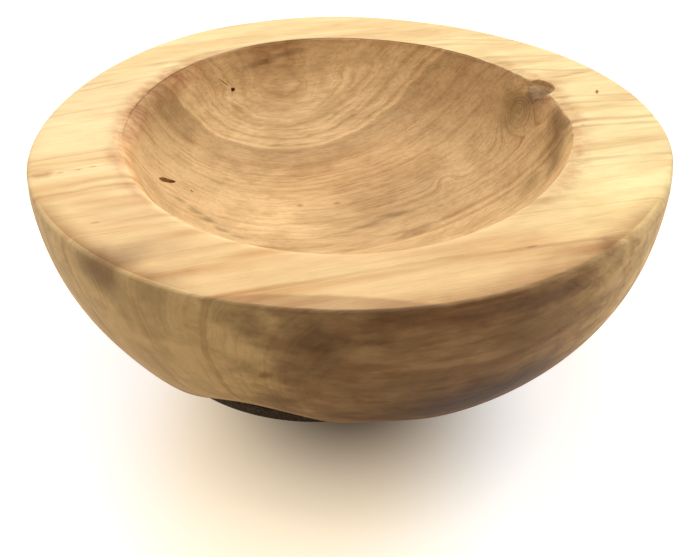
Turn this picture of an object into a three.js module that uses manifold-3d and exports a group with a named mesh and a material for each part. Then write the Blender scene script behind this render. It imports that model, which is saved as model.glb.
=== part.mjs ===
// A thick hand-hewn wooden bowl that stands on a thin cork disc.
// Millimetres, +Z up, the table top at z = 0 and the middle of the outline over the origin.
// The bowl's front, the side with the flatter lower left, faces -Y.

import * as THREE from 'three';
import { mergeVertices } from 'three/addons/utils/BufferGeometryUtils.js';
import Module from 'manifold-3d';

const wasm = await Module();
wasm.setup();

// Driving dimensions
const RIM_RADIUS = 150;
const RIM_WIDTH = 42; // outer edge of the rim to the wall of the hollow
const BOWL_HEIGHT = 112; // table top to the flat of the rim
const OUTER_EDGE_ROUNDING = 3.5;
const INNER_EDGE_ROLL = 6;
const HOLLOW_DEPTH = 64;
const HOLLOW_WALL_LEAN = 6; // how far the upper wall of the hollow leans in
const HOLLOW_OFFSET = new THREE.Vector2(0.4, 2.7); // the hollow is dug a little behind the middle
const FOOT_RADIUS = 95;
const FOOT_OFFSET = new THREE.Vector2(-16, -1.5); // the belly is fuller on the right, so the foot sits left
const BELLY_SAG = new THREE.Vector2(2.5, 0); // how far the lower belly hangs over to the right
const CORK_THICKNESS = 6;
const CORK_INSET = 3; // edge of the foot to the edge of the cork
const CORK_EDGE_ROUNDING = 0.8;

// Where the belly's curve is pulled to, as shares of the way out and up from the foot to the wall
const BELLY_LOW_PULL = new THREE.Vector2(0.5, 0.14);
const BELLY_HIGH_PULL = new THREE.Vector2(1.06, 0.43);
// How low on the belly it leans over to the foot: the higher, the lower
const FOOT_LEAN_POWER = 8;
// Where the hollow's curve is pulled to, as shares of its radius and depth
const HOLLOW_WALL_PULL = 0.6;
const HOLLOW_FLOOR_PULL = 0.57;

// Hewn by eye, neither outline is a true circle: a few low swells of so many lobes each,
// by so many millimetres, with a crest at so many degrees from +X
const BELLY_SWELLS = [
  { lobes: 3, rise: 1.9, crest: -6 },
  { lobes: 4, rise: 0.8, crest: 23 },
];
const HOLLOW_SWELLS = [
  { lobes: 2, rise: 2.2, crest: 94 },
  { lobes: 3, rise: 1.8, crest: 13 },
];

// Broad flats left by the adze on the belly: the way each one faces, in degrees round from +X and
// down from level, and how deep it is cut below the round of the belly
const ADZE_FLATS = [
  { round: 227, down: 45, depth: 5.4 },
  { round: 250, down: 47, depth: 8.2 },
  { round: 273, down: 45, depth: 5.6 },
  { round: 330, down: 43, depth: 1.4 },
  { round: 21, down: 39, depth: 2.2 },
  { round: 72, down: 46, depth: 3.0 },
  { round: 126, down: 40, depth: 2.0 },
  { round: 178, down: 44, depth: 2.8 },
];

// Fineness of the facets
const SIDES = 72;
const BELLY_STEPS = 14;
const HOLLOW_STEPS = 13;
const EDGE_STEPS = 4;

const woodFinish = new THREE.MeshStandardMaterial({ color: 0xd9ab70, roughness: 0.62, metalness: 0 });
const corkFinish = new THREE.MeshStandardMaterial({ color: 0x5f4630, roughness: 0.9, metalness: 0 });

const HOLLOW_RADIUS = RIM_RADIUS - RIM_WIDTH;
const radians = THREE.MathUtils.degToRad;

// How far an uneven outline stands out from its circle at an angle
function standOut(swells, angle) {
  return swells.reduce(
    (sum, { lobes, rise, crest }) => sum + rise * Math.cos(lobes * (angle - radians(crest))),
    0,
  );
}

// The outer half of the bowl's half-section, from the edge of the foot to the flat of the rim
function bellySection() {
  const foot = new THREE.Vector2(FOOT_RADIUS, CORK_THICKNESS);
  const wallTop = new THREE.Vector2(RIM_RADIUS, BOWL_HEIGHT - OUTER_EDGE_ROUNDING);
  const reach = wallTop.clone().sub(foot);
  const belly = new THREE.CubicBezierCurve(
    foot,
    BELLY_LOW_PULL.clone().multiply(reach).add(foot),
    BELLY_HIGH_PULL.clone().multiply(reach).add(foot),
    wallTop,
  );
  const edge = new THREE.EllipseCurve(
    RIM_RADIUS - OUTER_EDGE_ROUNDING,
    wallTop.y,
    OUTER_EDGE_ROUNDING,
    OUTER_EDGE_ROUNDING,
    0,
    Math.PI / 2,
  );
  return [...belly.getPoints(BELLY_STEPS), ...edge.getPoints(EDGE_STEPS).slice(1)];
}

// The inner half, from the flat of the rim over the rolled edge down to the middle of the floor
function hollowSection() {
  const wallTop = new THREE.Vector2(HOLLOW_RADIUS, BOWL_HEIGHT - INNER_EDGE_ROLL);
  const floor = new THREE.Vector2(0, BOWL_HEIGHT - HOLLOW_DEPTH);
  const wallDrop = (wallTop.y - floor.y) * HOLLOW_WALL_PULL;
  const roll = new THREE.EllipseCurve(
    HOLLOW_RADIUS + INNER_EDGE_ROLL,
    wallTop.y,
    INNER_EDGE_ROLL,
    INNER_EDGE_ROLL,
    Math.PI / 2,
    Math.PI,
  );
  const wall = new THREE.CubicBezierCurve(
    wallTop,
    new THREE.Vector2(HOLLOW_RADIUS - HOLLOW_WALL_LEAN, wallTop.y - wallDrop),
    new THREE.Vector2(HOLLOW_RADIUS * HOLLOW_FLOOR_PULL, floor.y),
    floor,
  );
  return [...roll.getPoints(EDGE_STEPS), ...wall.getPoints(HOLLOW_STEPS).slice(1)];
}

// One uneven ring of points at a place on the half-section
function ring({ x: radius, y: height }, centre, swells, outlineRadius) {
  return Array.from({ length: SIDES }, (_, side) => {
    const angle = (2 * Math.PI * side) / SIDES;
    const reach = radius + (standOut(swells, angle) * radius) / outlineRadius;
    return new THREE.Vector3(
      centre.x + reach * Math.cos(angle),
      centre.y + reach * Math.sin(angle),
      height,
    );
  });
}

// A ring outside hangs over to one side, most of all two thirds of the way down, where the
// curve of the sag has its peak, and lower down it moves over towards the foot
const SAG_PEAK = 4 / 27;

function bellyRing(place) {
  const fall = (BOWL_HEIGHT - place.y) / (BOWL_HEIGHT - CORK_THICKNESS);
  const sag = (fall ** 2 * (1 - fall)) / SAG_PEAK;
  const centre = BELLY_SAG.clone()
    .multiplyScalar(sag)
    .addScaledVector(FOOT_OFFSET, fall ** FOOT_LEAN_POWER);
  return ring(place, centre, BELLY_SWELLS, RIM_RADIUS);
}

function hollowRing(place) {
  return ring(place, HOLLOW_OFFSET, HOLLOW_SWELLS, HOLLOW_RADIUS);
}

// Skins a stack of rings, closed by a fan of triangles at each end
function loft(rings, startPole, endPole) {
  const points = [startPole, ...rings.flat(), endPole];
  const firstOf = (ringNumber) => 1 + ringNumber * SIDES;
  const lastRing = rings.length - 1;
  const faces = [];
  for (let side = 0; side < SIDES; side += 1) {
    const next = (side + 1) % SIDES;
    faces.push(0, firstOf(0) + next, firstOf(0) + side);
    for (let ringNumber = 0; ringNumber < lastRing; ringNumber += 1) {
      const near = firstOf(ringNumber);
      const far = firstOf(ringNumber + 1);
      faces.push(near + side, near + next, far + next);
      faces.push(near + side, far + next, far + side);
    }
    faces.push(firstOf(lastRing) + side, firstOf(lastRing) + next, points.length - 1);
  }
  const geometry = new THREE.BufferGeometry().setFromPoints(points);
  geometry.setIndex(faces);
  return geometry;
}

function toSolid(geometry) {
  const bare = geometry.clone();
  bare.deleteAttribute('normal');
  bare.deleteAttribute('uv');
  const merged = mergeVertices(bare);
  return new wasm.Manifold(
    new wasm.Mesh({
      numProp: 3,
      vertProperties: new Float32Array(merged.attributes.position.array),
      triVerts: new Uint32Array(merged.index.array),
    }),
  );
}

function toGeometry(solid) {
  const mesh = solid.getMesh();
  const geometry = new THREE.BufferGeometry();
  geometry.setAttribute('position', new THREE.BufferAttribute(mesh.vertProperties, mesh.numProp));
  geometry.setIndex(new THREE.BufferAttribute(mesh.triVerts, 1));
  geometry.computeVertexNormals();
  return geometry;
}

// The block that one stroke of the adze takes away: all that stands out past a plane
// that lies the stroke's depth below the furthest point of the belly that way
function adzeStroke({ round, down, depth }, points) {
  const outward = new THREE.Vector3(
    Math.cos(radians(round)) * Math.cos(radians(down)),
    Math.sin(radians(round)) * Math.cos(radians(down)),
    -Math.sin(radians(down)),
  );
  const furthest = Math.max(...points.map((point) => point.dot(outward)));
  const blockSize = 2 * RIM_RADIUS;
  const block = new THREE.BoxGeometry(blockSize, blockSize, blockSize);
  const turn = new THREE.Quaternion().setFromUnitVectors(new THREE.Vector3(0, 0, 1), outward);
  block.applyQuaternion(turn);
  block.translate(...outward.multiplyScalar(furthest - depth + blockSize / 2).toArray());
  return block;
}

function bowlBody() {
  const outside = bellySection().map(bellyRing);
  const insideSection = hollowSection();
  const floorCentre = insideSection.pop();
  const inside = insideSection.map(hollowRing);
  const footPole = new THREE.Vector3(FOOT_OFFSET.x, FOOT_OFFSET.y, CORK_THICKNESS);
  const floorPole = new THREE.Vector3(HOLLOW_OFFSET.x, HOLLOW_OFFSET.y, floorCentre.y);
  const rounded = loft([...outside, ...inside], footPole, floorPole);
  const outsidePoints = outside.flat();
  const hewn = ADZE_FLATS.reduce(
    (solid, flat) => solid.subtract(toSolid(adzeStroke(flat, outsidePoints))),
    toSolid(rounded),
  );
  const body = new THREE.Mesh(toGeometry(hewn), woodFinish);
  body.name = 'bowl_body';
  return body;
}

function corkBase() {
  const radius = FOOT_RADIUS - CORK_INSET;
  const section = [
    [0, 0],
    [radius - CORK_EDGE_ROUNDING, 0],
    [radius, CORK_EDGE_ROUNDING],
    [radius, CORK_THICKNESS - CORK_EDGE_ROUNDING],
    [radius - CORK_EDGE_ROUNDING, CORK_THICKNESS],
    [0, CORK_THICKNESS],
  ].map(([x, y]) => new THREE.Vector2(x, y));
  const disc = new THREE.LatheGeometry(section, SIDES);
  disc.rotateX(Math.PI / 2);
  const cork = new THREE.Mesh(disc, corkFinish);
  cork.name = 'cork_base';
  cork.position.set(FOOT_OFFSET.x, FOOT_OFFSET.y, 0);
  return cork;
}

const bowl = new THREE.Group();
bowl.add(bowlBody(), corkBase());

// The uneven rim is centred over the origin
const outline = new THREE.Box3().setFromObject(bowl).getCenter(new THREE.Vector3());
bowl.position.set(-outline.x, -outline.y, 0);

export default bowl;
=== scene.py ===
# %% [markdown]
# # A thick hewn bowl on a cork disc
# The bowl is cut from one block of wood: a round belly with broad flats from the adze, a wide level rim
# and a smooth hollow. A thin cork disc under the foot keeps it from marking the table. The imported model
# gives the true sizes and places, and this lesson makes the surfaces that the eye sees around them.

# %% Load the frame
import math

import bpy
import numpy as np
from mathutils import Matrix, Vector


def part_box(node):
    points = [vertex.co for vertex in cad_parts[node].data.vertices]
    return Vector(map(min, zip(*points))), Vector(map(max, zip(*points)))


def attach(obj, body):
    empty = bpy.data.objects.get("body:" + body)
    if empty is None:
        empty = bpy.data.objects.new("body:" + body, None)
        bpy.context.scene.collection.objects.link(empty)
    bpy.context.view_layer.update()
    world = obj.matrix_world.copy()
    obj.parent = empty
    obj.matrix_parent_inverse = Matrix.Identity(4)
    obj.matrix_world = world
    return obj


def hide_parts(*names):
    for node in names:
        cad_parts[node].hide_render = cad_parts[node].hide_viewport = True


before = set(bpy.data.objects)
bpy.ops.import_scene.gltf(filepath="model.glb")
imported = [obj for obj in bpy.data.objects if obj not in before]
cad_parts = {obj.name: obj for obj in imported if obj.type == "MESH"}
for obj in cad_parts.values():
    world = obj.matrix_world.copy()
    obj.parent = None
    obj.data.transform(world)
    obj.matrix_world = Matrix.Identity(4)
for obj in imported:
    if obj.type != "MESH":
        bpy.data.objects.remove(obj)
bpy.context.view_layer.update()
bowl_low, bowl_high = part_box("bowl_body")
cork_low, cork_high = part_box("cork_base")

# %% [markdown]
# ## Small helpers for working by hand
# Every operator acts on what is selected, so each piece starts from a clear selection and one active
# object. Sizes are written in millimetres, as a maker would say them, and turned into metres by MM.

# %% Helpers for objects and vertices
MM = 0.001


def clear_selection():
    """Leaves edit mode and deselects everything, the CAD nodes too."""
    if bpy.context.mode != "OBJECT":
        bpy.ops.object.mode_set(mode="OBJECT")
    bpy.ops.object.select_all(action="DESELECT")


def make_active(piece):
    clear_selection()
    piece.select_set(True)
    bpy.context.view_layer.objects.active = piece


def finish_modifier(piece, kind, name, **settings):
    """Adds a modifier with its settings and applies it, as by hand in the modifier tab."""
    make_active(piece)
    modifier = piece.modifiers.new(name, kind)
    for setting, value in settings.items():
        setattr(modifier, setting, value)
    bpy.ops.object.modifier_apply(modifier=name)


def read_points(piece):
    flat = np.empty(3 * len(piece.data.vertices), np.float32)
    piece.data.vertices.foreach_get("co", flat)
    return flat.reshape(-1, 3).astype(float)


def write_points(piece, points):
    piece.data.vertices.foreach_set("co", points.astype(np.float32).ravel())
    piece.data.update()


print("helpers ready, one millimetre is", MM, "m")

# %% [markdown]
# ## The bowl's half-section
# A bowl is easiest to think of as a half-section turned about its middle. The outline starts under the
# middle of the foot, follows the belly up to the outer edge, crosses the rim and rolls down into the
# hollow. It could be a list of measured points, but two Bezier curves and two arcs say the same in a few
# sizes, and can be sampled as finely as the wood's surface needs.

# %% Sizes of the half-section
RIM_RADIUS = 150 * MM
HOLLOW_RADIUS = 107.4 * MM
BOWL_HEIGHT = bowl_high.z
FOOT_HEIGHT = bowl_low.z
FOOT_RADIUS = 95 * MM
HOLLOW_DEPTH = 64 * MM
HOLLOW_FLOOR = BOWL_HEIGHT - HOLLOW_DEPTH
OUTER_EDGE = 1.4 * MM
INNER_EDGE = 0.9 * MM
HOLLOW_LEAN = 6 * MM
# Where the two Bezier curves are pulled to, as shares of their reach
BELLY_LOW_PULL = np.array((0.5, 0.14))
BELLY_HIGH_PULL = np.array((1.06, 0.43))
HOLLOW_WALL_PULL = 0.6
HOLLOW_FLOOR_PULL = 0.57
# How many steps each stretch of the outline takes
FOOT_STEPS = 10
BELLY_STEPS = 52
OUTER_EDGE_STEPS = 5
RIM_STEPS = 34
INNER_EDGE_STEPS = 6
HOLLOW_STEPS = 56


def bezier(start, start_pull, end_pull, end, steps):
    """Points on a cubic Bezier curve, without its first one."""
    share = np.linspace(0, 1, steps + 1)[1:, None]
    rest = 1 - share
    weights = (rest**3, 3 * rest**2 * share, 3 * rest * share**2, share**3)
    corners = (start, start_pull, end_pull, end)
    return sum(weight * np.array(corner, float) for weight, corner in zip(weights, corners))


def quarter_arc(centre, radius, start_angle, steps):
    """Points on a quarter circle, turning left, without its first one."""
    angle = start_angle + np.linspace(0, math.pi / 2, steps + 1)[1:]
    return np.stack((np.cos(angle), np.sin(angle)), axis=1) * radius + centre


def straight(start, end, steps):
    share = np.linspace(0, 1, steps + 1)[1:, None]
    return np.array(start) * (1 - share) + np.array(end) * share


def half_section():
    """Radius and height of the outline, from the middle of the foot to the middle of the hollow."""
    foot_middle = (0, FOOT_HEIGHT)
    foot_edge = np.array((FOOT_RADIUS, FOOT_HEIGHT))
    wall_top = np.array((RIM_RADIUS, BOWL_HEIGHT - OUTER_EDGE))
    reach = wall_top - foot_edge
    rim_outer = (RIM_RADIUS - OUTER_EDGE, BOWL_HEIGHT)
    rim_inner = (HOLLOW_RADIUS + INNER_EDGE, BOWL_HEIGHT)
    hollow_top = np.array((HOLLOW_RADIUS, BOWL_HEIGHT - INNER_EDGE))
    wall_drop = (hollow_top[1] - HOLLOW_FLOOR) * HOLLOW_WALL_PULL
    hollow_pull = (HOLLOW_RADIUS - HOLLOW_LEAN, hollow_top[1] - wall_drop)
    floor_pull = (HOLLOW_RADIUS * HOLLOW_FLOOR_PULL, HOLLOW_FLOOR)
    low_pull = foot_edge + BELLY_LOW_PULL * reach
    high_pull = foot_edge + BELLY_HIGH_PULL * reach
    return np.concatenate((
        [foot_middle],
        straight(foot_middle, foot_edge, FOOT_STEPS),
        bezier(foot_edge, low_pull, high_pull, wall_top, BELLY_STEPS),
        quarter_arc((rim_outer[0], wall_top[1]), OUTER_EDGE, 0, OUTER_EDGE_STEPS),
        straight(rim_outer, rim_inner, RIM_STEPS),
        quarter_arc((rim_inner[0], hollow_top[1]), INNER_EDGE, math.pi / 2, INNER_EDGE_STEPS),
        bezier(hollow_top, hollow_pull, floor_pull, (0, HOLLOW_FLOOR), HOLLOW_STEPS),
    ))


section = half_section()
print("half-section of", len(section), "points")

# %% [markdown]
# ## Turning the half-section into a solid bowl
# By hand this is a single vertex that is extruded along the outline and then spun about the upright axis.
# A ready-made sphere or cylinder would bring edges that have nothing to do with the bowl. Spin leaves a
# seam and two stacks of points at the poles, so doubles are merged before the normals are made to agree.

# %% Spin the bowl
SPIN_STEPS = 360
MERGE_GAP = 0.02 * MM


def spun_outline(name, outline, steps):
    """Extrudes one vertex along an outline of radii and heights and spins it into a closed solid."""
    clear_selection()
    bpy.ops.mesh.primitive_circle_add(vertices=3, radius=MM)
    piece = bpy.context.object
    piece.name = name
    bpy.ops.object.mode_set(mode="EDIT")
    bpy.ops.mesh.merge(type="CENTER")
    bpy.ops.transform.translate(value=(outline[0][0], 0, outline[0][1]))
    for radius_step, height_step in np.diff(outline, axis=0):
        bpy.ops.mesh.extrude_vertices_move(
            TRANSFORM_OT_translate={"value": (radius_step, 0, height_step)}
        )
    bpy.ops.mesh.select_all(action="SELECT")
    bpy.ops.mesh.spin(steps=steps, angle=2 * math.pi, center=(0, 0, 0), axis=(0, 0, 1))
    bpy.ops.mesh.select_all(action="SELECT")
    bpy.ops.mesh.remove_doubles(threshold=MERGE_GAP)
    bpy.ops.mesh.normals_make_consistent(inside=False)
    bpy.ops.object.mode_set(mode="OBJECT")
    return piece


bowl = spun_outline("hewn_bowl", section, SPIN_STEPS)
print("spun bowl:", len(bowl.data.vertices), "vertices,", len(bowl.data.polygons), "faces")

# %% [markdown]
# ## Hewn by eye, not turned on a lathe
# Neither the outline nor the hollow is a true circle, the hollow lies a little behind the middle, and the
# belly leans over a foot that sits to the left. Proportional editing could push this about by hand, but a
# few low swells of so many lobes each say it exactly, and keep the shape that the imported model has.

# %% Swells and lean
# Each swell: how many lobes, how far it rises, degrees round from +X of a crest
BELLY_SWELLS = ((3, 1.9 * MM, -6), (4, 0.8 * MM, 23))
HOLLOW_SWELLS = ((2, 2.2 * MM, 94), (3, 1.8 * MM, 13))
HOLLOW_OFFSET = np.array((-1.2, 1.9)) * MM
FOOT_OFFSET = np.array((-16, -1.5)) * MM
BELLY_SAG = np.array((1.4, 0)) * MM
FOOT_LEAN_POWER = 8  # the higher, the lower down the belly leans over to the foot
SAG_PEAK = 4 / 27  # the most that the curve of the sag comes to
TINY = 0.01 * MM

turned = read_points(bowl)
turned_radius = np.hypot(turned[:, 0], turned[:, 1])
turned_angle = np.arctan2(turned[:, 1], turned[:, 0])
turned_height = turned[:, 2]
# Which step of the spin each point lies on
spin_step = np.round(turned_angle / (2 * math.pi) * SPIN_STEPS).astype(int) % SPIN_STEPS


def inside_share():
    """1 in the hollow, 0 on the belly and foot, and running from one to the other across the rim."""
    inner = HOLLOW_RADIUS + INNER_EDGE
    outer = RIM_RADIUS - OUTER_EDGE
    across_rim = np.clip((outer - turned_radius) / (outer - inner), 0, 1)
    in_hollow = (turned_radius < inner) & (turned_height > HOLLOW_FLOOR - TINY)
    return np.where(turned_height > BOWL_HEIGHT - TINY, across_rim, in_hollow)


def stand_out(swells, outline_radius):
    """How far an uneven outline stands out from its circle, less and less towards the middle."""
    rises = (rise * np.cos(lobes * (turned_angle - math.radians(crest))) for lobes, rise, crest in swells)
    return sum(rises) * turned_radius / outline_radius


def hewn_by_eye(inside):
    """Every point of the turned bowl moved to its place on the uneven one."""
    outside = 1 - inside
    swell = outside * stand_out(BELLY_SWELLS, RIM_RADIUS) + inside * stand_out(HOLLOW_SWELLS, HOLLOW_RADIUS)
    fall = (BOWL_HEIGHT - turned_height) / (BOWL_HEIGHT - FOOT_HEIGHT)
    sag = fall**2 * (1 - fall) / SAG_PEAK
    lean = outside[:, None] * (sag[:, None] * BELLY_SAG + (fall**FOOT_LEAN_POWER)[:, None] * FOOT_OFFSET)
    centre = lean + inside[:, None] * HOLLOW_OFFSET
    radius = turned_radius + swell
    return np.stack((
        centre[:, 0] + radius * np.cos(turned_angle),
        centre[:, 1] + radius * np.sin(turned_angle),
        turned_height,
    ), axis=1)


inside = inside_share()
points = hewn_by_eye(inside)
print("widest point is", round(np.hypot(points[:, 0], points[:, 1]).max() / MM, 1), "mm from the middle")

# %% [markdown]
# ## Flats from the adze, and worn edges
# Each stroke of the adze leaves a broad flat on the belly, and later sanding and handling soften the edge
# between two flats. A Boolean cut would leave knife-sharp edges that then need a bevel, so here each point
# that stands out past a flat is pushed back on to it, with a soft bend where the flat begins. The same
# push, facing up, wears the edges of the rim: the outer one most at the front left and the front right,
# the inner one along the left and the front.

# %% Pare the belly and the edges
# Each flat: degrees round from +X, degrees down from level, depth below the round of the belly. With a
# depth below zero the blade only brushed the wood.
ADZE_FLATS = (
    (221, 44, 4.6 * MM), (255, 47, 7.4 * MM), (276, 46, 1.4 * MM), (330, 43, -2.0 * MM),
    (21, 39, 1.6 * MM), (72, 46, 3.0 * MM), (126, 40, 2.0 * MM), (178, 44, 2.0 * MM),
)
BLADE_CURVE = 3.4  # the adze's blade is bowed: metres that a flat rises per square metre to its side
FLAT_SOFTNESS = 2.2 * MM
EDGE_SOFTNESS = 0.25 * MM
WEAR_SOFTNESS = 0.5  # how softly a worn edge bends, as a share of its wear
HALF_ROOT = math.sqrt(0.5)
# Wear of each edge: degrees round from +X, how many degrees it spreads, depth
OUTER_WEAR = ((180, 32, 0.4 * MM), (2, 30, 0.3 * MM), (228, 14, 1.2 * MM), (322, 20, 1.4 * MM))
INNER_WEAR = ((184, 26, 2.4 * MM), (226, 34, 2.2 * MM), (285, 40, 2.6 * MM))
WEAR_BAND = 30 * MM  # how far below the rim an edge can wear
OUTER_WEAR_FROM = 125 * MM  # least radius of the points that wear with the outer edge
INNER_WEAR_TO = 135 * MM  # largest radius of those that wear with the inner edge


def push_back(moving, outward, over, softness):
    """Pushes points that stand over a limit back on to it, bending softly where it begins."""
    cut = softness * np.logaddexp(0, over / softness)
    return moving - outward * cut[:, None]


def adze(moving, flats):
    limits = []
    for around, down, depth in flats:
        level = math.cos(math.radians(down))
        outward = np.array((
            level * math.cos(math.radians(around)),
            level * math.sin(math.radians(around)),
            -math.sin(math.radians(down)),
        ))
        sideways = np.array((-outward[1], outward[0], 0)) / level
        limits.append((outward, sideways, (moving @ outward).max() - depth))
    for outward, sideways, limit in limits:
        over = moving @ outward - limit - BLADE_CURVE * (moving @ sideways) ** 2
        moving = push_back(moving, outward, over, FLAT_SOFTNESS)
    return moving


def near_angle(around, spread):
    """1 for points at an angle round the bowl, less and less to both sides of it, in degrees."""
    turn = np.angle(np.exp(1j * (turned_angle - math.radians(around))))
    return np.exp(-((turn / math.radians(spread)) ** 2))


def wear_edge(moving, side, near_edge, wear):
    """Wears the rim's outer edge (side 1) or inner edge (side -1) by a slope that faces up."""
    outward = np.stack((
        side * HALF_ROOT * np.cos(turned_angle),
        side * HALF_ROOT * np.sin(turned_angle),
        np.full(len(moving), HALF_ROOT),
    ), axis=1)
    reach = (moving * outward).sum(axis=1)
    furthest = np.full(SPIN_STEPS, -np.inf)
    np.maximum.at(furthest, spin_step[near_edge], reach[near_edge])
    depth = sum(deepest * near_angle(around, spread) for around, spread, deepest in wear)
    over = reach - furthest[spin_step] + depth
    worn = push_back(moving, outward, over, EDGE_SOFTNESS + WEAR_SOFTNESS * depth)
    return np.where(near_edge[:, None], worn, moving)


points = adze(points, ADZE_FLATS)
high_up = turned_height > BOWL_HEIGHT - WEAR_BAND
points = wear_edge(points, 1, high_up & (turned_radius > OUTER_WEAR_FROM), OUTER_WEAR)
points = wear_edge(points, -1, high_up & (turned_radius < INNER_WEAR_TO), INNER_WEAR)
middle = (points.max(axis=0) + points.min(axis=0)) / 2
points[:, :2] -= middle[:2]
write_points(bowl, points)
print("box after paring, mm:", (points.min(axis=0) / MM).round(1), (points.max(axis=0) / MM).round(1))

# %% [markdown]
# ## The hand of the maker in the surface
# A sanded hewn surface still rises and falls a little. A Displace modifier with a cloud texture does that
# on the mesh itself, so it shows in the outline and not only in the shading. Its middle level is 1, which
# only ever takes wood away, and a vertex group keeps the foot flat.

# %% Undulating surface
FOOT_FADE = 45 * MM  # height over which the belly's ripple grows to its full depth
RIM_BAND = 6 * MM  # how far below the flat of the rim its ripple reaches
BOX_MARGIN = 0.05 * MM
# Each ripple: size of its clouds, depth
BELLY_RIPPLE = (60 * MM, 0.6 * MM)
HOLLOW_RIPPLE = (34 * MM, 1.0 * MM)
RIM_RIPPLE = (50 * MM, 0.35 * MM)


def cloud_texture(name, size):
    texture = bpy.data.textures.new(name, "CLOUDS")
    texture.noise_scale = size
    texture.noise_depth = 1
    return texture


def zone(piece, name, weights):
    """A vertex group with a weight for every vertex."""
    group = piece.vertex_groups.new(name=name)
    for level in np.unique(weights.round(2)):
        members = np.flatnonzero(weights.round(2) == level)
        group.add(members.tolist(), float(level), "REPLACE")
    return name


def undulate(piece, name, weights, size, depth):
    finish_modifier(
        piece, "DISPLACE", name,
        texture=cloud_texture(name, size), texture_coords="LOCAL", direction="NORMAL",
        mid_level=1.0, strength=depth, vertex_group=zone(piece, name, weights),
    )


def fit_to_box(piece, low, high, margin):
    """Stretches a piece by a hair so that it fills a box, all but a margin on each side."""
    moving = read_points(piece)
    size = moving.max(axis=0) - moving.min(axis=0)
    room = np.array(high) - np.array(low) - 2 * margin
    write_points(piece, (moving - moving.min(axis=0)) * (room / size) + np.array(low) + margin)


off_the_foot = np.clip((turned_height - FOOT_HEIGHT) / FOOT_FADE, 0, 1)
undulate(bowl, "hewn_belly", off_the_foot * (1 - inside), *BELLY_RIPPLE)
below_the_rim = turned_height < BOWL_HEIGHT - TINY
undulate(bowl, "scraped_hollow", inside * below_the_rim, *HOLLOW_RIPPLE)
near_the_rim = turned_height > BOWL_HEIGHT - RIM_BAND
undulate(bowl, "sanded_rim", near_the_rim.astype(float), *RIM_RIPPLE)
fit_to_box(bowl, bowl_low, bowl_high, BOX_MARGIN)
print("undulating surface, size in mm:", [round(side / MM, 1) for side in bowl.dimensions])

# %% [markdown]
# ## A torn edge and a lost knot
# Across the grain, at the left and the right of the hollow, the scraper tore the wood, so the edge there is
# ragged. At the back right a knot broke out of the edge and left a rounded bite. A Boolean would do for the
# bite, but would leave long thin faces, so here every point inside a ball is pushed out to its skin. The
# torn edge is a fine cloud, like the undulation.

# %% Tear the edge and take out the bite
TORN_PLACES = ((0, 26), (168, 30), (40, 14))  # degrees round from +X and how many degrees each spreads
TORN_REACH = 5 * MM
LOST_KNOT = np.array((96.0, 43.0, 116.0)) * MM  # middle of a ball that the broken wood lies round
LOST_KNOT_RADIUS = 10 * MM
LOST_KNOT_EDGE = 1.5 * MM  # how far inside the ball the wood counts as fully broken
BITE_ROUGHNESS = 0.6  # how rough the broken wood is, as a share of the torn edge
TORN_RIPPLE = (4.5 * MM, 2.2 * MM)


def torn_share():
    """1 where the hollow's edge is torn, 0 away from it."""
    edge_gap = np.hypot(turned_radius - HOLLOW_RADIUS - INNER_EDGE, turned_height - BOWL_HEIGHT)
    near = np.exp(-((edge_gap / TORN_REACH) ** 2)) * (turned_height > HOLLOW_FLOOR)
    return near * np.max([near_angle(*torn_place) for torn_place in TORN_PLACES], axis=0)


def scoop(piece, middle, radius):
    """Pushes the points inside a ball out to its skin, and gives how deep inside it each one was."""
    away = read_points(piece) - middle
    distance = np.linalg.norm(away, axis=1)
    depth = np.maximum(radius - distance, 0)
    write_points(piece, middle + away * (1 + depth / distance)[:, None])
    return depth


broken = np.clip(scoop(bowl, LOST_KNOT, LOST_KNOT_RADIUS) / LOST_KNOT_EDGE, 0, 1)
undulate(bowl, "torn_edge", np.maximum(torn_share(), broken * BITE_ROUGHNESS), *TORN_RIPPLE)
INSIDE_MARK = "inside_share"
inside_mark = bowl.data.attributes.new(INSIDE_MARK, "FLOAT", "POINT")
inside_mark.data.foreach_set("value", np.maximum(inside, broken))
print("points in the bite:", int((broken > 0).sum()))

# %% [markdown]
# ## Checks and a worm hole
# The block was not clean wood: a gaping check on the left of the hollow with a small pit below it, a worm
# hole at the back with a fine check beside it, and a short check on the rim. Painted marks would look flat
# from the side, so each is a cutter, shaped from a sphere and taken away by a Boolean. The cut faces are
# marked with an attribute, so that the wood finish can darken them.

# %% Cut the flaws
CUT_MARK = "raw_cut"
# Each flaw: middle in mm, the way it runs, the way into the wood, half length, half width and half depth
# in mm, and how dark it is inside
FLAWS = {
    "gaping_check": ((-93.2, -6.0, 79.8), (0.39, 0.73, -0.55), (-0.77, -0.06, -0.63), 8.3, 1.6, 1.5, 0.9),
    "small_pit": ((-83.2, 0.5, 70.0), (0.80, 0.1, -0.6), (-0.6, 0.0, -0.8), 1.3, 0.7, 1.0, 0.7),
    "worm_hole": ((-71.3, 81.4, 91.2), (0.7, 0.7, 0.0), (-0.64, 0.65, -0.40), 1.7, 1.4, 3.0, 0.9),
    "worm_check": ((-75.8, 79.8, 96.1), (0.67, 0.26, -0.72), (-0.64, 0.65, -0.40), 6.5, 0.35, 1.8, 0.7),
    "rim_check": ((126.2, 37.7, 112.0), (0.25, 0.97, 0.0), (0.0, 0.0, -1.0), 2.7, 0.8, 1.3, 0.8),
}
FLAW_TAPER = 0.35
FLAW_WOBBLE = 0.12
WOBBLE_RATE = 7
RIM_CUT_BAND = 4 * MM  # cuts this near to the top belong to the rim, lower ones to the hollow
RIM_SHARE = 0.5
HOLLOW_SHARE = 1.0
BOWL_SMOOTHING = math.radians(40)


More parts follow.
